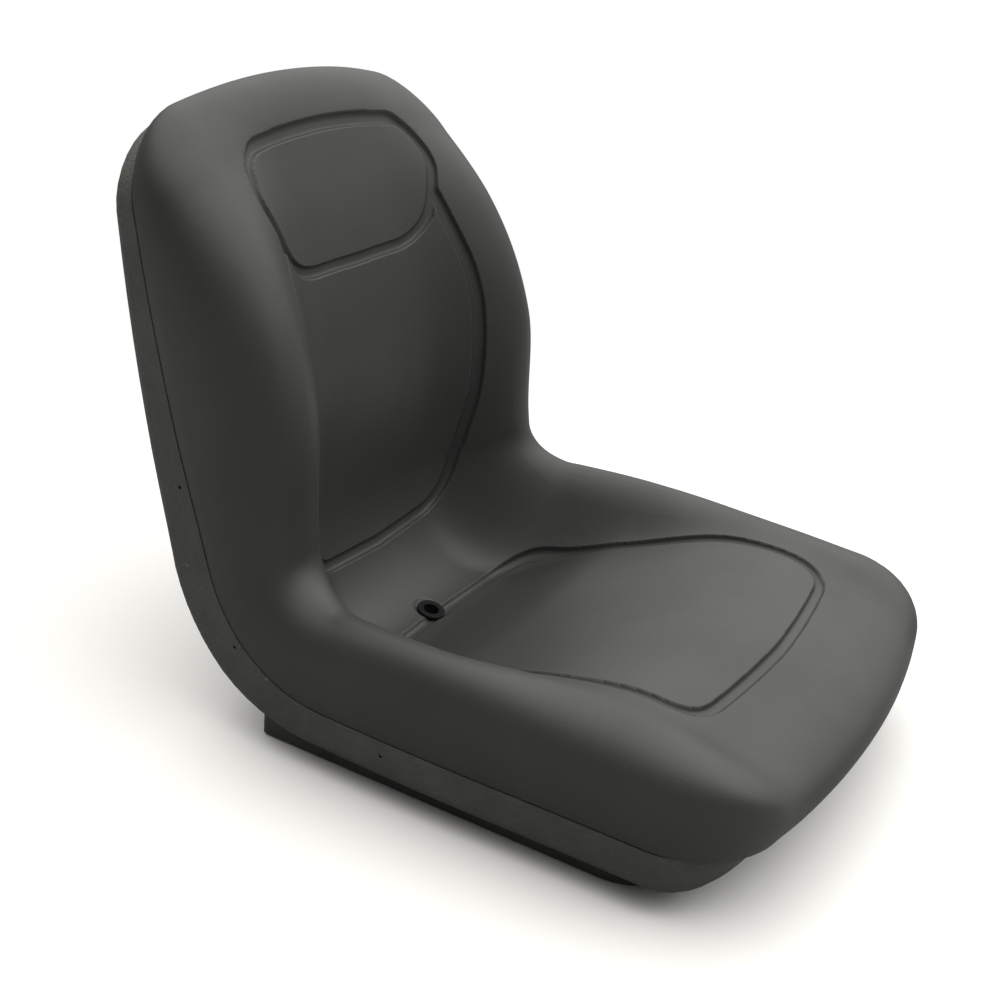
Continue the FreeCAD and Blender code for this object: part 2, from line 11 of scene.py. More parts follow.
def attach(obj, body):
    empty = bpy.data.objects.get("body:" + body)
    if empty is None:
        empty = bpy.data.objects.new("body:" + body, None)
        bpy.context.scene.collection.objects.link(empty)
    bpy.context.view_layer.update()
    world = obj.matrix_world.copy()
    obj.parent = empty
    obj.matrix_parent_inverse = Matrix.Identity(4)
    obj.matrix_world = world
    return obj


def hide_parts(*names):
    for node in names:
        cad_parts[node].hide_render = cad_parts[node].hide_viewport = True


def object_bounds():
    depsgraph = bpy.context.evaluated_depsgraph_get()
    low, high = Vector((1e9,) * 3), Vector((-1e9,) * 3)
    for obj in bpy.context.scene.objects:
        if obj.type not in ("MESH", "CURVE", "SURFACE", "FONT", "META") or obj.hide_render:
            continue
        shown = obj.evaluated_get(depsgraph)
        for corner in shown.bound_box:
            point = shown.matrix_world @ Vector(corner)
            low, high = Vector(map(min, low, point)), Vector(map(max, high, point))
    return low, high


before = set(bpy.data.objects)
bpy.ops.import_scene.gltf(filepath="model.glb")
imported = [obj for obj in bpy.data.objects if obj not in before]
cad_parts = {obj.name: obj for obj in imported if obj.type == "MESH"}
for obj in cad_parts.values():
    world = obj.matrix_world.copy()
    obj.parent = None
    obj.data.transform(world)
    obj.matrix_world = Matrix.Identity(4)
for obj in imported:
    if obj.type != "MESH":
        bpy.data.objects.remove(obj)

bl_info = {
    "name": "Ride on mower seat",
    "version": (1, 0, 0),
    "blender": (4, 5, 0),
    "location": "View3D > Sidebar > Mower seat",
    "description": "Dresses the packed seat: formed vinyl cushion, textured pan, grommet, inserts "
                   "and studio",
    "category": "Object",
}

CAD_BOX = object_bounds()

# Grooved panels on one half of the cushion: corners as half width, distance along the parting line
# and corner radius, in millimetres.
SEAT_PANEL = ((0, 79, 0), (149, 82, 34), (156, 190, 260), (131, 397, 44), (0, 399, 0))
LUMBAR_PANEL = ((0, 479, 0), (104, 483, 42), (129, 578, 200), (133, 695, 300), (116, 786, 0))
HEAD_PANEL = ((0, 739, 0), (99, 742, 71), (128, 820, 40), (111, 855, 31), (0, 856, 0))
MILLIMETRE = 0.001

# Levels of the cushion's flat layout; the four rows of the tuck lie between them
TOP = 0
UNDERSIDE = 5
# Rings inside the innermost one, as shares of its width
CORE_SHARES = (0, 0.34, 0.67)

WHITE = (1, 1, 1, 1)
MERGE_DISTANCE = 1e-5
TINY = 1e-9


class SeatForm(bpy.types.PropertyGroup):
    """Sizes of the moulded cushion. Those of its main form are the solids' own."""

    front_y: FloatProperty(
        name="Front", description="Front end of the parting line", default=-0.252, unit="LENGTH")
    parting_z: FloatProperty(
        name="Parting height", description="Height of the parting line under the seat",
        default=0.06, unit="LENGTH")
    seat_run: FloatProperty(
        name="Seat run", description="Straight run of the parting line under the seat",
        default=0.376, unit="LENGTH")
    bend_radius: FloatProperty(
        name="Bend radius", description="Radius where the seat turns into the back",
        default=0.127, unit="LENGTH")
    back_angle: FloatProperty(
        name="Back angle", description="Turn from the seat to the back",
        default=math.radians(71), unit="ROTATION")
    outline_length: FloatProperty(
        name="Outline length", description="Parting line from the front to the top",
        default=0.904, unit="LENGTH")
    front_corner: FloatProperty(
        name="Front corner", description="Corner radius at the front", default=0.062, unit="LENGTH")
    top_corner: FloatProperty(
        name="Top corner", description="Corner radius at the top", default=0.058, unit="LENGTH")
    front_bow: FloatProperty(
        name="Front bow", description="Sweep of the front edge", default=0.022, unit="LENGTH")
    top_bow: FloatProperty(
        name="Top bow", description="Sweep of the top edge", default=0.027, unit="LENGTH")
    bow_half_width: FloatProperty(
        name="Bow half width", description="Where the bows are measured",
        default=0.2, unit="LENGTH")
    front_bow_to: FloatProperty(
        name="Front bow to", description="Share of the outline where the front bow ends",
        default=0.35)
    top_bow_from: FloatProperty(
        name="Top bow from", description="Share of the outline where the top bow starts",
        default=0.62)
    edge_roll: FloatProperty(
        name="Edge roll", description="Width of the rolled edge", default=0.05, unit="LENGTH")
    roll_power: FloatProperty(
        name="Roll fullness", description="Fullness of the rolled edge, 1 for a round one",
        default=0.88)
    side_bulge: FloatProperty(
        name="Side bulge", description="Overhang of the edge at the sides",
        default=0.009, unit="LENGTH")
    front_bulge: FloatProperty(
        name="Front bulge", description="Overhang of the edge at the front",
        default=0.0195, unit="LENGTH")
    back_blend: FloatVectorProperty(
        name="Back blend", size=2, default=(0.3, 0.55),
        description="Shares of the outline where the seat's section starts and ends its turn into "
                    "the back's")
    dish_edges: FloatVectorProperty(
        name="Dish edges", size=2, default=(0.58, 0.28),
        description="Share of the half width where the bolsters start, on the seat and on the back")
    crests_at: FloatVectorProperty(
        name="Crests at", size=2, default=(0.97, 0.91),
        description="Share of the half width where the bolsters are full, on the seat and on the "
                    "back")
    stations: FloatVectorProperty(
        name="Stations", description="Places of the sections, as shares of the outline", size=8,
        default=(0, 0.15, 0.32, 0.45, 0.58, 0.72, 0.86, 1))
    half_widths: FloatVectorProperty(
        name="Half widths", description="Half width at each station", size=8, unit="LENGTH",
        default=(0.228, 0.228, 0.229, 0.225, 0.218, 0.216, 0.208, 0.193))
    crests: FloatVectorProperty(
        name="Crests", description="Bolster crest at each station", size=8, unit="LENGTH",
        default=(0.078, 0.084, 0.091, 0.082, 0.078, 0.106, 0.09, 0.025))
    dishes: FloatVectorProperty(
        name="Dishes", description="Middle of the dish at each station", size=8, unit="LENGTH",
        default=(0.042, 0.075, 0.033, -0.021, 0.009, 0.045, 0.053, 0.04))
    tuck_inset: FloatProperty(
        name="Tuck inset", description="Set back of the cushion below the parting line",
        default=0.0052, unit="LENGTH")
    tuck_ledge: FloatProperty(
        name="Tuck ledge", description="Depth of the ledge under the rolled edge",
        default=0.0009, unit="LENGTH")
    tuck_drop: FloatProperty(
        name="Tuck drop", description="Depth of the tuck's upright face",
        default=0.0035, unit="LENGTH")
    tuck_reach: FloatProperty(
        name="Tuck reach", description="Width of the slope from the tuck to the underside",
        default=0.05, unit="LENGTH")
    end_setbacks: FloatVectorProperty(
        name="End set back", description="Set back of the pan at the front and the top", size=2,
        unit="LENGTH", default=(0.014, 0.007))
    floor_depths: FloatVectorProperty(
        name="Underside", description="Depth of the underside at the seat, the bend and the top",
        size=3, unit="LENGTH", default=(0.0316, 0.0376, 0.0136))
    groove_width: FloatProperty(
        name="Groove width", description="Half width of the panel grooves",
        default=0.0056, unit="LENGTH")
    groove_depth: FloatProperty(
        name="Groove depth", description="Depth of the panel grooves",
        default=0.0043, unit="LENGTH")
    drain_along: FloatProperty(
        name="Drain", description="Place of the drain along the parting line",
        default=0.406, unit="LENGTH")
    drain_bore: FloatProperty(
        name="Drain bore", description="Radius of the hole round the grommet's tube",
        default=0.0112, unit="LENGTH")
    drain_seat: FloatProperty(
        name="Drain seat", description="Radius of the recess under the grommet's flange",
        default=0.0133, unit="LENGTH")
    drain_sink: FloatProperty(
        name="Drain sink", description="Depth of the recess under the grommet's flange",
        default=0.0014, unit="LENGTH")
    drain_slope: FloatProperty(
        name="Drain slope", description="Width of the slope round that recess",
        default=0.002, unit="LENGTH")


class CushionSteps(bpy.types.PropertyGroup):
    """How finely the cushion's mesh is divided."""

    outline: IntVectorProperty(
        name="Outline", size=5, default=(12, 14, 99, 14, 10),
        description="Steps along half the outline: front, front corner, side, top corner and top")
    roll: IntProperty(name="Roll", description="Rings over the rolled edge", default=12)
    roll_turn: FloatProperty(
        name="Roll turn", description="Turn of the rolled edge that those rings cover",
        default=math.radians(66), unit="ROTATION")
    dish: IntProperty(name="Dish", description="Rings from the rolled edge inwards", default=27)
    dish_reach: FloatProperty(
        name="Dish reach", description="Depth inside the outline of the innermost ring",
        default=0.198, unit="LENGTH")
    core_gap: FloatProperty(
        name="Core gap", default=0.02, unit="LENGTH",
        description="Room between the innermost ring and the middle line's ends")
    corner_room: FloatProperty(
        name="Corner room", description="Least corner radius of a ring",
        default=0.012, unit="LENGTH")
    underside: IntProperty(name="Underside", description="Rings of the underside", default=5)
    refine_rounds: IntProperty(
        name="Rounds", description="Times that the mesh is halved along the grooves", default=3)
    refine_reach: FloatProperty(
        name="Reach", description="How far beside the grooves the first halving goes",
        default=0.012, unit="LENGTH")
    lip_snap: FloatProperty(
        name="Lip snap", description="Distance within which vertices move onto a groove's lip",
        default=0.0004, unit="LENGTH")


class SeatFinish(bpy.types.PropertyGroup):
    """Colours and grains of the seat's materials."""

    vinyl_colour: FloatVectorProperty(
        name="Vinyl", description="Colour of the cushion", subtype="COLOR", size=4,
        min=0, max=1, default=(0.029, 0.0293, 0.0294, 1))
    vinyl_worn: FloatVectorProperty(
        name="Vinyl, pale", description="Colour of the vinyl where it is rubbed",
        subtype="COLOR", size=4, min=0, max=1, default=(0.036, 0.0363, 0.0362, 1))
    pan_colour: FloatVectorProperty(
        name="Pan", description="Colour of the pan", subtype="COLOR", size=4,
        min=0, max=1, default=(0.062, 0.062, 0.0595, 1))
    pan_dust: FloatVectorProperty(
        name="Pan, dusty", description="Colour of dust in the pan's texture", subtype="COLOR",
        size=4, min=0, max=1, default=(0.1, 0.1, 0.096, 1))
    pan_scuff: FloatVectorProperty(
        name="Pan, scuffed", description="Colour of the scuffs on the pan", subtype="COLOR",
        size=4, min=0, max=1, default=(0.26, 0.26, 0.25, 1))
    rubber_colour: FloatVectorProperty(
        name="Grommet", description="Colour of the grommet", subtype="COLOR", size=4,
        min=0, max=1, default=(0.009, 0.009, 0.009, 1))
    steel_colour: FloatVectorProperty(
        name="Inserts", description="Colour of the plated inserts", subtype="COLOR", size=4,
        min=0, max=1, default=(0.62, 0.6, 0.54, 1))
    vinyl_grain: FloatProperty(
        name="Vinyl grain", description="Cells of the vinyl grain in a metre", default=900)
    pan_grain: FloatProperty(
        name="Pan grain", description="Cells of the pan's texture in a metre", default=340)
    crease: FloatProperty(
        name="Crease", description="Angle from which an edge of a solid stays sharp",
        default=math.radians(30), unit="ROTATION")


class SeatStage(bpy.types.PropertyGroup):
    """Camera, light and floor of the studio."""

    azimuth: FloatProperty(
        name="Azimuth", description="Turn of the camera round the seat",
        default=math.radians(-62.9), unit="ROTATION")
    elevation: FloatProperty(
        name="Elevation", description="Height angle of the camera",
        default=math.radians(24.57), unit="ROTATION")
    roll: FloatProperty(
        name="Roll", description="Roll of the camera", default=math.radians(6.05), unit="ROTATION")
    lens: FloatProperty(
        name="Lens", description="Focal length in millimetres", default=54.435, unit="CAMERA")
    place: FloatVectorProperty(
        name="Camera place", description="Place of the camera", size=3, subtype="TRANSLATION",
        unit="LENGTH", default=(-1.07484, -0.45104, 0.72679))
    floor_size: FloatProperty(
        name="Floor", description="Half width of the floor", default=6, unit="LENGTH")
    floor_colour: FloatVectorProperty(
        name="Floor colour", description="Colour of the floor", subtype="COLOR", size=4,
        min=0, max=1, default=(0.9, 0.9, 0.9, 1))
    floor_bounce: FloatVectorProperty(
        name="Floor bounce", description="Colour of the floor as it lights the seat",
        subtype="COLOR", size=4, min=0, max=1, default=(0.3, 0.3, 0.3, 1))
    floor_fade: FloatVectorProperty(
        name="Floor fade", size=2, unit="LENGTH", default=(0.42, 0.95),
        description="Distances at which the floor starts and ends its fade to white")
    tent_towards: FloatVectorProperty(
        name="Tent", description="Direction of the brightest part of the light tent",
        size=3, subtype="DIRECTION", default=(0.3, 0, 0.95))
    tent_reach: FloatVectorProperty(
        name="Tent reach", size=2, default=(0.28, 0.9),
        description="Cosines from that direction where the tent is dark and where it is full")
    tent_strengths: FloatVectorProperty(
        name="Tent light", description="Light of the tent's dark and bright parts", size=2,
        default=(0.04, 2.5))
    tent_colour: FloatVectorProperty(
        name="Tent colour", description="Colour of the tent's light", subtype="COLOR", size=4,
        min=0, max=1, default=(1, 0.988, 0.945, 1))
    backdrop_gloss: FloatProperty(
        name="Backdrop gloss", description="Share of the white backdrop that gloss shows",
        min=0, max=1, default=0.12)
    key_power: FloatProperty(
        name="Key", description="Power of the lamp before the seat", default=1.5, unit="POWER")
    key_size: FloatProperty(
        name="Key size", description="Width of that lamp", default=0.8, unit="LENGTH")
    key_place: FloatVectorProperty(
        name="Key place", description="Place of that lamp", size=3, subtype="TRANSLATION",
        unit="LENGTH", default=(0.1, -1.0, 1.15))


def smooth(share):
    """Ease in and out between 0 and 1."""
    share = np.clip(share, 0, 1)
    return share * share * (3 - 2 * share)


def station_curve(form, values, along):
    """Smooth curve through the values of the stations."""
    places = np.array(form.stations) * form.outline_length
    values = np.array(values)
    slopes = np.empty_like(values)
    slopes[1:-1] = (values[2:] - values[:-2]) / (places[2:] - places[:-2])
    slopes[0] = (values[1] - values[0]) / (places[1] - places[0])
    slopes[-1] = (values[-1] - values[-2]) / (places[-1] - places[-2])
    along = np.clip(along, 0, places[-1])
    slot = np.clip(np.searchsorted(places, along, side="right") - 1, 0, len(places) - 2)
    span = places[slot + 1] - places[slot]
    share = (along - places[slot]) / span
    rise = smooth(share)
    leave = share * (1 - share) ** 2 * span * slopes[slot]
    arrive = share * share * (share - 1) * span * slopes[slot + 1]
    return values[slot] * (1 - rise) + values[slot + 1] * rise + leave + arrive


def place(form, x, along, height):
    """Points at a height above the parting line, square to it."""
    turn = np.clip((along - form.seat_run) / form.bend_radius, 0, form.back_angle)
    run = np.maximum(along - form.seat_run - form.bend_radius * form.back_angle, 0)
    y = form.front_y + np.minimum(along, form.seat_run) + form.bend_radius * np.sin(turn)
    y = y + run * math.cos(form.back_angle) - height * np.sin(turn)
    z = form.parting_z + form.bend_radius * (1 - np.cos(turn)) + run * math.sin(form.back_angle)
    return np.stack([x, y, z + height * np.cos(turn)], -1)


def bowed(form, x, along):
    """Distance along the parting line once the front and top edges are bowed."""
    share = along / form.outline_length
    reach = (x / form.bow_half_width) ** 2
    top = form.top_bow * reach * smooth((share - form.top_bow_from) / (1 - form.top_bow_from))
    front = form.front_bow * reach * (1 - smooth(share / form.front_bow_to))
    return along - top + front


def rim(form, x, along):
    """Depth inside the outline, and the way out of it across and along the seat."""
    at_top = along > form.outline_length / 2
    radius = np.where(at_top, form.top_corner, form.front_corner)
    end_distance = np.where(at_top, form.outline_length - along, along)
    over_side = np.abs(x) - (station_curve(form, form.half_widths, along) - radius)
    over_end = radius - end_distance
    beside, beyond = np.maximum(over_side, 0), np.maximum(over_end, 0)
    reach = np.hypot(beside, beyond)
    depth = radius - reach - np.minimum(np.maximum(over_side, over_end), 0)
    safe = np.maximum(reach, TINY)
    return depth, np.sign(x) * beside / safe, np.where(at_top, 1, -1) * beyond / safe


def dish_height(form, x, along):
    """Height of the cushion above the parting line, away from its rolled edge."""
    start, end = form.back_blend
    back_share = smooth((along / form.outline_length - start) / (end - start))
    dish_edge = form.dish_edges[0] + (form.dish_edges[1] - form.dish_edges[0]) * back_share
    crest_at = form.crests_at[0] + (form.crests_at[1] - form.crests_at[0]) * back_share
    across = np.clip(np.abs(x) / station_curve(form, form.half_widths, along), 0, 1)
    dish = station_curve(form, form.dishes, along)
    crest = station_curve(form, form.crests, along)
    share = np.clip((across - dish_edge) / (crest_at - dish_edge), 0, 1)
    return dish + (crest - dish) * share ** 3 * (10 - 15 * share + 6 * share * share)


def cushion_surface(form, x, along):
    """Top of the cushion: the dish with an edge that rolls over to the parting line."""
    depth, out_x, out_along = rim(form, x, along)
    share = np.clip(depth / form.edge_roll, 0, 1)
    base = np.sqrt(1 - (1 - share) ** 2)
    front_share = np.clip(-out_along, 0, 1) ** 2
    bulge = form.side_bulge + (form.front_bulge - form.side_bulge) * front_share
    bulge = bulge * np.sin(2 * np.arcsin(base))
    height = dish_height(form, x, along) * base ** form.roll_power
    return place(form, x + out_x * bulge, bowed(form, x, along) + out_along * bulge, height)


def cushion_normal(form, x, along):
    """Outward direction of the cushion's top."""
    step = 0.0008
    across = cushion_surface(form, x + step, along) - cushion_surface(form, x - step, along)
    ahead = cushion_surface(form, x, along + step) - cushion_surface(form, x, along - step)
    normal = np.cross(across, ahead)
    return normal / np.maximum(np.linalg.norm(normal, axis=-1, keepdims=True), TINY)


def panel_path(corners, blend_steps=14, most_of_side=0.48):
    """One half of a panel's outline with its corners rounded, in metres."""
    nodes = []
    for index, (x, along, radius) in enumerate(corners):
        here = np.array((x, along), float)
        if radius == 0:
            nodes.append(here)
            continue
        back = np.array(corners[index - 1][:2], float) - here
        ahead = np.array(corners[index + 1][:2], float) - here
        lengths = np.linalg.norm(back), np.linalg.norm(ahead)
        back, ahead = back / lengths[0], ahead / lengths[1]
        half_angle = math.acos(np.clip(back @ ahead, -1, 1)) / 2
        reach = min(radius / math.tan(half_angle), most_of_side * min(lengths))
        for share in np.linspace(0, 1, blend_steps):
            nodes.append(here + back * reach * (1 - share) ** 2 + ahead * reach * share ** 2)
    return np.array(nodes) * MILLIMETRE


def distance_to(path, x, along):
    """Distance from points on the developed cushion to a path."""
    nearest = np.full(x.shape, np.inf)
    for start, end in zip(path, path[1:]):
        run = end - start
        share = ((x - start[0]) * run[0] + (along - start[1]) * run[1]) / max(run @ run, TINY ** 2)
        share = np.clip(share, 0, 1)
        gap = np.hypot(x - start[0] - share * run[0], along - start[1] - share * run[1])
        nearest = np.minimum(nearest, gap)
    return nearest


def groove_distance(x, along):
    """Distance from points on the developed cushion to the middle of the nearest groove."""
    panels = (SEAT_PANEL, LUMBAR_PANEL, HEAD_PANEL)
    gaps = [distance_to(panel_path(corners), np.abs(x), along) for corners in panels]
    return np.minimum.reduce(gaps)


def contour(form, steps, inset):
    """Closed run round the outline moved inwards: half widths and places along the parting line."""
    front, front_turn, side, top_turn, top = steps.outline
    front_reach = max(form.front_corner, inset + steps.corner_room)
    top_reach = max(form.top_corner, inset + steps.corner_room)
    front_bend, top_bend = front_reach - inset, top_reach - inset
    start, end = inset, form.outline_length - inset

    def width(along):
        return station_curve(form, form.half_widths, along)

    half = []
    end_width = width(np.array(start)) - front_reach
    half.append((np.linspace(0, end_width, front, endpoint=False), np.full(front, start)))
    turns = np.linspace(0, math.pi / 2, front_turn, endpoint=False)
    along = front_reach - front_bend * np.cos(turns)
    half.append((width(along) - front_reach + front_bend * np.sin(turns), along))
    along = np.linspace(front_reach, form.outline_length - top_reach, side, endpoint=False)
    half.append((width(along) - inset, along))
    turns = np.linspace(math.pi / 2, 0, top_turn, endpoint=False)
    along = form.outline_length - top_reach + top_bend * np.cos(turns)
    half.append((width(along) - top_reach + top_bend * np.sin(turns), along))
    end_width = width(np.array(end)) - top_reach
    half.append((np.linspace(end_width, 0, top + 1), np.full(top + 1, end)))
    x, along = np.concatenate(half, axis=1)
    return np.concatenate([x, -x[-2::-1]]), np.concatenate([along, along[-2::-1]])


def cushion_depths(form, steps):
    """Depths of the rings inside the outline, from the parting line to the middle of the dish."""
    turns = np.linspace(0, steps.roll_turn, steps.roll, endpoint=False)
    roll = form.edge_roll * (1 - np.cos(turns))
    rolled = form.edge_roll * (1 - math.cos(steps.roll_turn))
    return np.concatenate([roll, np.linspace(rolled, steps.dish_reach, steps.dish)])


def tuck_rows(form):
    """Inset and height of the rows that turn the cushion under: a small round, a ledge, a drop."""
    round_start, round_end, round_rise = 0.0004, 0.0016, 0.0003
    return ((round_start, round_rise - form.tuck_ledge), (round_end, -form.tuck_ledge),
            (form.tuck_inset, -form.tuck_ledge), (form.tuck_inset, -form.tuck_drop))


def tuck_place(form, x, along, inset):
    """Places of the tuck, set back at the ends of the seat as the pan is."""
    depth, out_x, out_along = rim(form, x, along)
    setback = np.where(out_along < 0, *form.end_setbacks) * out_along ** 2
    setback = setback * smooth(inset / form.tuck_inset)
    x = x - out_x * setback
    return x, bowed(form, x, along - out_along * setback)


def underside_height(form, along):
    """Height of the underside: even under the seat, then as the pan's floor."""
    bend = form.bend_radius * form.back_angle
    back_start = form.seat_run + bend
    marks = (0, form.seat_run, form.seat_run + bend / 2, back_start, form.outline_length)
    seat, back, top = form.floor_depths
    return -np.interp(along, marks, (seat, seat, back, back, top))


def flat_layout(form, steps):
    """Flat grid of the whole cushion: across, along, and the level of top, tuck or underside."""
    inner_x, inner_along = contour(form, steps, steps.dish_reach)
    core_ends = inner_along.min() + steps.core_gap, inner_along.max() - steps.core_gap
    core_along = np.clip(inner_along, *core_ends)
    core = [(inner_x * share, core_along + (inner_along - core_along) * share)
            for share in CORE_SHARES]
    rings = [(depth, TOP) for depth in cushion_depths(form, steps)[::-1]]
    rings += [(inset, level) for level, (inset, height) in enumerate(tuck_rows(form), TOP + 1)]
    bottom_insets = np.linspace(form.tuck_reach, steps.dish_reach, steps.underside)
    rings += [(inset, UNDERSIDE) for inset in bottom_insets]
    runs = [(*run, TOP) for run in core]
    runs += [(*contour(form, steps, inset), level) for inset, level in rings]
    runs += [(*run, UNDERSIDE) for run in reversed(core)]

    bm = bmesh.new()
    rows, columns = len(runs), len(inner_x)
    bmesh.ops.create_grid(bm, x_segments=columns - 1, y_segments=rows - 1, size=1)
    for vert in bm.verts:
        column = round((vert.co.x + 1) / 2 * (columns - 1))
        x, along, level = runs[round((vert.co.y + 1) / 2 * (rows - 1))]
        vert.co = (x[column], along[column], level)
    bmesh.ops.remove_doubles(bm, verts=bm.verts, dist=MERGE_DISTANCE)
    return bm


def flat_places(bm):
    """Across, along and level of all vertices of a flat layout."""
    places = np.empty((len(bm.verts), 3))
    for row, vert in zip(places, bm.verts):
        row[:] = vert.co
    return places.T


def refine(form, steps, bm, rounds):
    """Halve the edges of the flat layout along the grooves and round the drain, in each round."""
    for step in range(rounds):
        x, along, level = flat_places(bm)
        near = groove_distance(x, along) < form.groove_width + steps.refine_reach / 2 ** step
        near_drain = np.hypot(x, along - form.drain_along) < 2 * form.drain_bore
        near = (near & (level == TOP)) | near_drain
        bm.verts.index_update()
        edges = [edge for edge in bm.edges if all(near[vert.index] for vert in edge.verts)]
        bmesh.ops.subdivide_edges(bm, edges=edges, cuts=1, use_grid_fill=True)


def snap_to_lips(form, steps, bm):
    """Move vertices beside the lips of the grooves onto them, so that the lips are crisp."""
    x, along, level = flat_places(bm)
    step = 1e-5
    gap = groove_distance(x, along)
    slope_x = (groove_distance(x + step, along) - gap) / step
    slope_along = (groove_distance(x, along + step) - gap) / step
    missing = form.groove_width - gap
    moves = (np.abs(missing) < steps.lip_snap) & (level == TOP)
    bm.verts.ensure_lookup_table()
    for index in np.flatnonzero(moves):
        bm.verts[index].co.x += missing[index] * slope_x[index]
        bm.verts[index].co.y += missing[index] * slope_along[index]


def open_drain(form, bm):
    """Hole for the grommet's tube, through the top and the underside."""
    middle = Vector((0, form.drain_along))
    inside = [face for face in bm.faces
              if all((vert.co.xy - middle).length < form.drain_bore for vert in face.verts)]
    bmesh.ops.delete(bm, geom=inside, context="FACES")
    rims = [edge for edge in bm.edges if edge.is_boundary]
    bmesh.ops.bridge_loops(bm, edges=rims)


def formed_places(form, x, along, level):
    """Points of the formed cushion for places of the flat layout."""
    gap = groove_distance(x, along)
    sink = form.groove_depth * np.clip(1 - (gap / form.groove_width) ** 4, 0, 1)
    inside_drain = form.drain_seat + form.drain_slope - np.hypot(x, along - form.drain_along)
    sink = np.maximum(sink, form.drain_sink * smooth(inside_drain / form.drain_slope))
    points = cushion_surface(form, x, along) - cushion_normal(form, x, along) * sink[:, None]
    for row, (inset, height) in enumerate(tuck_rows(form), TOP + 1):
        chosen = level == row
        tuck_x, tuck_along = tuck_place(form, x[chosen], along[chosen], inset)
        points[chosen] = place(form, tuck_x, tuck_along, height)
    below = level == UNDERSIDE
    points[below] = place(form, x[below], along[below], underside_height(form, along[below]))
    return points


def cushion_mesh(form, steps, rounds):
    """Closed mesh of the cushion: laid out flat, refined along its grooves and formed."""
    bm = flat_layout(form, steps)
    refine(form, steps, bm, rounds)
    snap_to_lips(form, steps, bm)
    open_drain(form, bm)
    for vert, point in zip(bm.verts, formed_places(form, *flat_places(bm))):
        vert.co = point
    bmesh.ops.dissolve_degenerate(bm, dist=1e-6, edges=bm.edges)
    bmesh.ops.triangulate(bm, faces=[face for face in bm.faces if len(face.verts) > 4])
    bmesh.ops.recalc_face_normals(bm, faces=bm.faces)
    for face in bm.faces:
        face.smooth = True
    mesh = bpy.data.meshes.new("formed_cushion")
    bm.to_mesh(mesh)
    bm.free()
    return mesh


def new_piece(name, mesh, material):
    """Object for a mesh, with its material, riding on the seat's body."""
    piece = bpy.data.objects.new(name, mesh)
    bpy.context.scene.collection.objects.link(piece)
    mesh.materials.append(material)
    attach(piece, "root")
    return piece


def finish_node(name, material, crease):
    """Give a solid its material and smooth its round faces, with its sharp edges kept."""
    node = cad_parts[name]
    node.data.materials.clear()
    node.data.materials.append(material)
    for polygon in node.data.polygons:
        polygon.use_smooth = True
        polygon.material_index = 0
    weld = node.modifiers.new("weld", "WELD")
    weld.merge_threshold = MERGE_DISTANCE
    split = node.modifiers.new("crease", "EDGE_SPLIT")
    split.split_angle = crease


def new_material(name, colour, roughness):
    """Material with one principled shader, its tree and the shader."""
    material = bpy.data.materials.new(name)
    material.use_nodes = True
    tree = material.node_tree
    shader = next(node for node in tree.nodes if node.type == "BSDF_PRINCIPLED")
    shader.inputs["Base Color"].default_value = colour
    shader.inputs["Roughness"].default_value = roughness
    return material, tree, shader


def feed(tree, value, socket):
    """Link a socket to another one, or set it to a value."""
    if isinstance(value, bpy.types.NodeSocket):
        tree.links.new(value, socket)
    else:
        socket.default_value = value


def add_node(tree, kind, **settings):
    """Node with some of its properties set or its sockets fed."""
    node = tree.nodes.new(kind)
    for name, value in settings.items():
        if hasattr(node, name):
            setattr(node, name, value)
        else:
            feed(tree, value, node.inputs[name])
    return node


def combine(tree, operation, first, second):
    """Result of some arithmetic on two sockets, or on a socket and a number."""
    node = add_node(tree, "ShaderNodeMath", operation=operation)
    feed(tree, first, node.inputs[0])
    feed(tree, second, node.inputs[1])
    return node.outputs[0]


def remap(tree, value, before, after):
    """Value moved from one range to another and held within it."""
    node = add_node(tree, "ShaderNodeMapRange", Value=value)
    node.inputs["From Min"].default_value, node.inputs["From Max"].default_value = before
    node.inputs["To Min"].default_value, node.inputs["To Max"].default_value = after
    return node.outputs["Result"]


def mix_colour(tree, factor, first, second):
    """Mix of a colour, or of another mix, with a second colour."""
    node = add_node(tree, "ShaderNodeMix", data_type="RGBA")
    under, over = [socket for socket in node.inputs if socket.type == "RGBA"]
    feed(tree, first, under)
    feed(tree, second, over)
    feed(tree, factor, node.inputs[0])
    return next(socket for socket in node.outputs if socket.type == "RGBA")


def piece_place(tree):
    """Place on the piece, in metres."""
    return tree.nodes.new("ShaderNodeTexCoord").outputs["Object"]


def noise(tree, scale, detail, roughness=0.5):
    """Noise over the piece, with a number of cells in a metre."""
    node = add_node(tree, "ShaderNodeTexNoise", Vector=piece_place(tree), Scale=scale,
                    Detail=detail, Roughness=roughness)
    return node.outputs["Fac"]


def emboss(tree, shader, height, strength, distance):
    """Raise a fine relief on a shader."""
    bump = add_node(tree, "ShaderNodeBump", Strength=strength, Distance=distance, Height=height)
    tree.links.new(bump.outputs["Normal"], shader.inputs["Normal"])


def vinyl_material(finish):
    """Satin vinyl: fine pebble grain and faint cloudy wear."""
    material, tree, shader = new_material("satin_vinyl", finish.vinyl_colour, 0.5)
    clouds = noise(tree, 7, 4, 0.55)
    wear = remap(tree, clouds, (0.35, 0.7), (0, 1))
    feed(tree, mix_colour(tree, wear, finish.vinyl_colour, finish.vinyl_worn),
         shader.inputs["Base Color"])
    feed(tree, remap(tree, clouds, (0.3, 0.7), (0.54, 0.47)), shader.inputs["Roughness"])
    pebbles = add_node(tree, "ShaderNodeTexVoronoi", feature="SMOOTH_F1",
                       Vector=piece_place(tree), Scale=finish.vinyl_grain, Smoothness=0.6)
    wrinkles = noise(tree, finish.vinyl_grain / 3, 3)
    relief = combine(tree, "ADD", pebbles.outputs["Distance"], wrinkles)
    emboss(tree, shader, relief, 0.16, 0.0004)
    return material


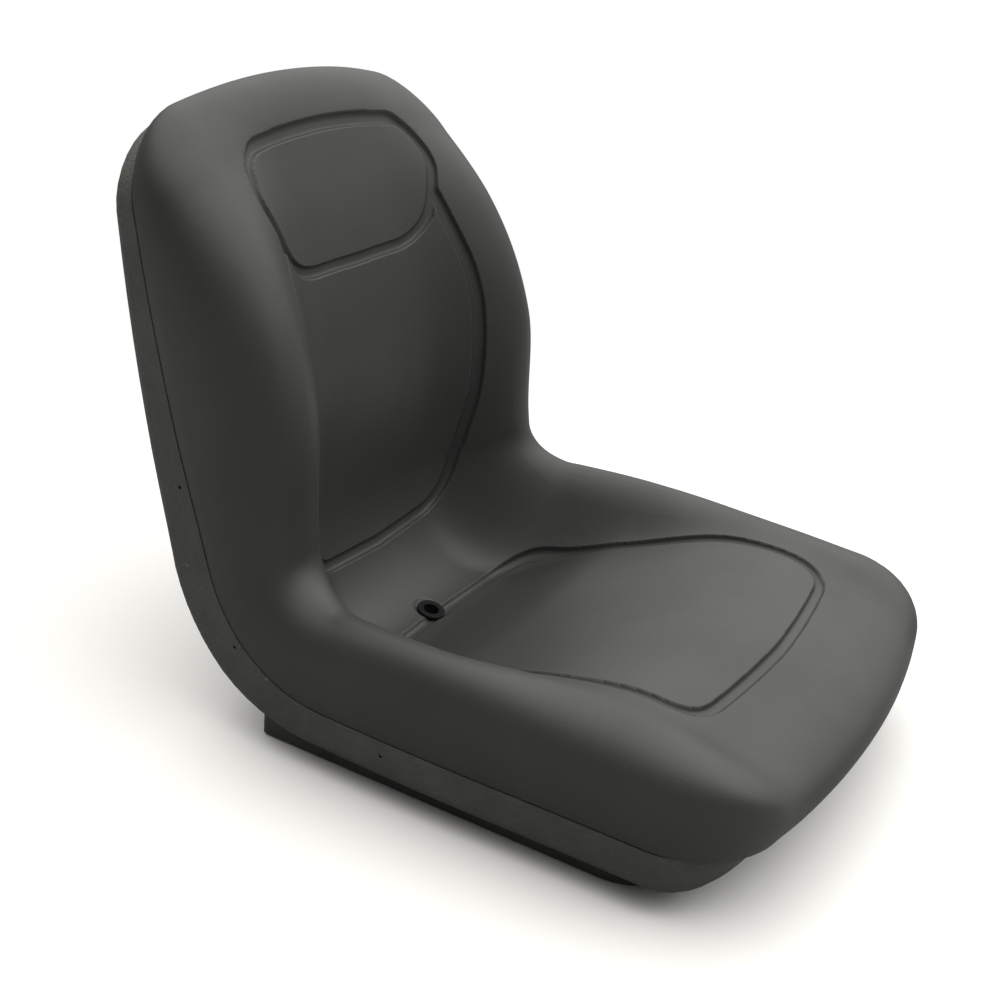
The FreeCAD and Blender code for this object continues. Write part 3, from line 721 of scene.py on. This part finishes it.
def pan_material(finish):
    """Moulded plastic with a sand texture, a little dust in it and small scuffs."""
    material, tree, shader = new_material("textured_plastic", finish.pan_colour, 0.55)
    shader.inputs["Specular IOR Level"].default_value = 0.45
    sand = noise(tree, finish.pan_grain, 3, 0.6)
    clouds = noise(tree, 16, 5, 0.6)
    dust = remap(tree, clouds, (0.45, 0.75), (0, 1))
    dusty = mix_colour(tree, dust, finish.pan_colour, finish.pan_dust)
    rubbed = remap(tree, noise(tree, 70, 6, 0.7), (0.67, 0.77), (0, 1))
    feed(tree, mix_colour(tree, rubbed, dusty, finish.pan_scuff), shader.inputs["Base Color"])
    feed(tree, remap(tree, clouds, (0.3, 0.7), (0.46, 0.62)), shader.inputs["Roughness"])
    emboss(tree, shader, sand, 0.8, 0.0016)
    return material


def rubber_material(finish):
    """Black rubber with a matt, slightly uneven face."""
    material, tree, shader = new_material("grommet_rubber", finish.rubber_colour, 0.8)
    shader.inputs["Specular IOR Level"].default_value = 0.15
    speckle = noise(tree, 900, 2)
    feed(tree, remap(tree, speckle, (0.3, 0.7), (0.7, 0.9)), shader.inputs["Roughness"])
    emboss(tree, shader, speckle, 0.2, 0.0003)
    return material


def steel_material(finish):
    """Zinc plated steel with a little tarnish."""
    material, tree, shader = new_material("plated_steel", finish.steel_colour, 0.32)
    shader.inputs["Metallic"].default_value = 1.0
    tarnish = noise(tree, 260, 4)
    feed(tree, remap(tree, tarnish, (0.3, 0.7), (0.25, 0.45)), shader.inputs["Roughness"])
    emboss(tree, shader, tarnish, 0.1, 0.0002)
    return material


class SEAT_OT_cushion(bpy.types.Operator):
    """Make the formed vinyl cushion with its grooved panels"""

    bl_idname = "seat.cushion"
    bl_label = "Cushion"

    def execute(self, context):
        scene = context.scene
        steps = scene.seat_steps
        mesh = cushion_mesh(scene.seat_form, steps, steps.refine_rounds)
        piece = new_piece("formed_cushion", mesh, vinyl_material(scene.seat_finish))
        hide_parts("seat_cushion")
        return {"FINISHED"}


class SEAT_OT_pan(bpy.types.Operator):
    """Finish the moulded pan"""

    bl_idname = "seat.pan"
    bl_label = "Pan"

    def execute(self, context):
        finish = context.scene.seat_finish
        finish_node("seat_pan", pan_material(finish), finish.crease)
        return {"FINISHED"}


class SEAT_OT_fittings(bpy.types.Operator):
    """Finish the drain grommet and the threaded inserts"""

    bl_idname = "seat.fittings"
    bl_label = "Fittings"

    def execute(self, context):
        finish = context.scene.seat_finish
        finish_node("drain_grommet", rubber_material(finish), finish.crease)
        finish_node("threaded_inserts", steel_material(finish), finish.crease)
        return {"FINISHED"}


def backdrop_share(tree, stage):
    """How far a ray meets the white backdrop: wholly if seen or through glass, partly off gloss."""
    paths = tree.nodes.new("ShaderNodeLightPath").outputs
    gloss = combine(tree, "MULTIPLY", paths["Is Glossy Ray"], stage.backdrop_gloss)
    clear = combine(tree, "MAXIMUM", paths["Is Camera Ray"], paths["Is Transmission Ray"])
    return combine(tree, "MAXIMUM", clear, gloss)


def studio_world(stage):
    """Light tent, bright over the seat and dark low beside it, with a plain white backdrop."""
    world = bpy.data.worlds.new("studio")
    bpy.context.scene.world = world
    world.use_nodes = True
    tree = world.node_tree
    background = next(node for node in tree.nodes if node.type == "BACKGROUND")
    facing = add_node(tree, "ShaderNodeVectorMath", operation="DOT_PRODUCT")
    feed(tree, tree.nodes.new("ShaderNodeTexCoord").outputs["Generated"], facing.inputs[0])
    feed(tree, stage.tent_towards, facing.inputs[1])
    light = remap(tree, facing.outputs["Value"], stage.tent_reach, stage.tent_strengths)
    seen = backdrop_share(tree, stage)
    feed(tree, combine(tree, "MAXIMUM", light, seen), background.inputs["Strength"])
    feed(tree, mix_colour(tree, seen, stage.tent_colour, WHITE), background.inputs["Color"])


def floor_material(stage):
    """Pale floor that keeps the seat's shadow and fades into the white backdrop round it."""
    material, tree, shader = new_material("pale_floor", stage.floor_colour, 0.9)
    shader.inputs["Specular IOR Level"].default_value = 0.0
    reach = add_node(tree, "ShaderNodeVectorMath", operation="LENGTH")
    feed(tree, piece_place(tree), reach.inputs[0])
    fade = remap(tree, reach.outputs["Value"], stage.floor_fade, (0, 1))
    seen = backdrop_share(tree, stage)
    feed(tree, mix_colour(tree, seen, stage.floor_bounce, stage.floor_colour),
         shader.inputs["Base Color"])
    blend = add_node(tree, "ShaderNodeMixShader", Fac=combine(tree, "MULTIPLY", fade, seen))
    feed(tree, shader.outputs[0], blend.inputs[1])
    feed(tree, tree.nodes.new("ShaderNodeEmission").outputs[0], blend.inputs[2])
    output = next(node for node in tree.nodes if node.type == "OUTPUT_MATERIAL")
    feed(tree, blend.outputs[0], output.inputs["Surface"])
    return material


def studio_floor(stage):
    """Level floor under the seat."""
    bm = bmesh.new()
    bmesh.ops.create_grid(bm, x_segments=1, y_segments=1, size=stage.floor_size)
    bmesh.ops.translate(bm, verts=bm.verts, vec=(0, 0, CAD_BOX[0].z))
    mesh = bpy.data.meshes.new("floor")
    bm.to_mesh(mesh)
    bm.free()
    mesh.materials.append(floor_material(stage))
    floor = bpy.data.objects.new("floor", mesh)
    bpy.context.scene.collection.objects.link(floor)


def key_lamp(stage):
    """Square soft lamp before the seat, aimed at its middle."""
    lamp = bpy.data.lights.new("key", "AREA")
    lamp.energy = stage.key_power
    lamp.size = stage.key_size
    lamp_object = bpy.data.objects.new("key", lamp)
    bpy.context.scene.collection.objects.link(lamp_object)
    lamp_object.location = stage.key_place
    aim = (CAD_BOX[0] + CAD_BOX[1]) / 2 - Vector(stage.key_place)
    lamp_object.rotation_euler = aim.to_track_quat("-Z", "Y").to_euler()


def studio_camera(stage):
    """Camera at the photograph's viewing angle."""
    camera = bpy.data.cameras.new("camera")
    camera.lens = stage.lens
    camera.sensor_width = 36
    camera.clip_end = 100
    camera_object = bpy.data.objects.new("camera", camera)
    bpy.context.scene.collection.objects.link(camera_object)
    bpy.context.scene.camera = camera_object
    turn, rise = stage.azimuth, stage.elevation
    level_back = Vector((math.sin(turn), -math.cos(turn), 0))
    back = level_back * math.cos(rise) + Vector((0, 0, math.sin(rise)))
    level = Vector((math.cos(turn), math.sin(turn), 0))
    upright = back.cross(level)
    right = level * math.cos(stage.roll) + upright * math.sin(stage.roll)
    up = upright * math.cos(stage.roll) - level * math.sin(stage.roll)
    axes = Matrix((right, up, back)).transposed().to_4x4()
    camera_object.matrix_world = Matrix.Translation(stage.place) @ axes


class SEAT_OT_stage(bpy.types.Operator):
    """Make the floor, the lamp, the backdrop and the camera"""

    bl_idname = "seat.stage"
    bl_label = "Studio"

    def execute(self, context):
        stage = context.scene.seat_stage
        studio_floor(stage)
        key_lamp(stage)
        studio_world(stage)
        studio_camera(stage)
        context.scene.view_settings.view_transform = "Standard"
        return {"FINISHED"}


OPERATORS = (SEAT_OT_cushion, SEAT_OT_pan, SEAT_OT_fittings, SEAT_OT_stage)


class SEAT_PT_panel(bpy.types.Panel):
    """Lists the steps that dress the seat"""

    bl_idname = "SEAT_PT_panel"
    bl_label = "Mower seat"
    bl_space_type = "VIEW_3D"
    bl_region_type = "UI"
    bl_category = "Mower seat"

    def draw(self, context):
        for operator in OPERATORS:
            self.layout.operator(operator.bl_idname)


GROUPS = {"seat_form": SeatForm, "seat_steps": CushionSteps, "seat_finish": SeatFinish,
          "seat_stage": SeatStage}


def register():
    for name, group in GROUPS.items():
        bpy.utils.register_class(group)
        setattr(bpy.types.Scene, name, PointerProperty(type=group))
    for item in (*OPERATORS, SEAT_PT_panel):
        bpy.utils.register_class(item)


def unregister():
    for item in reversed((*OPERATORS, SEAT_PT_panel)):
        bpy.utils.unregister_class(item)
    for name, group in GROUPS.items():
        delattr(bpy.types.Scene, name)
        bpy.utils.unregister_class(group)


def main():
    register()
    bpy.ops.seat.cushion()
    bpy.ops.seat.pan()
    bpy.ops.seat.fittings()
    bpy.ops.seat.stage()


if __name__ == "__main__":
    main()
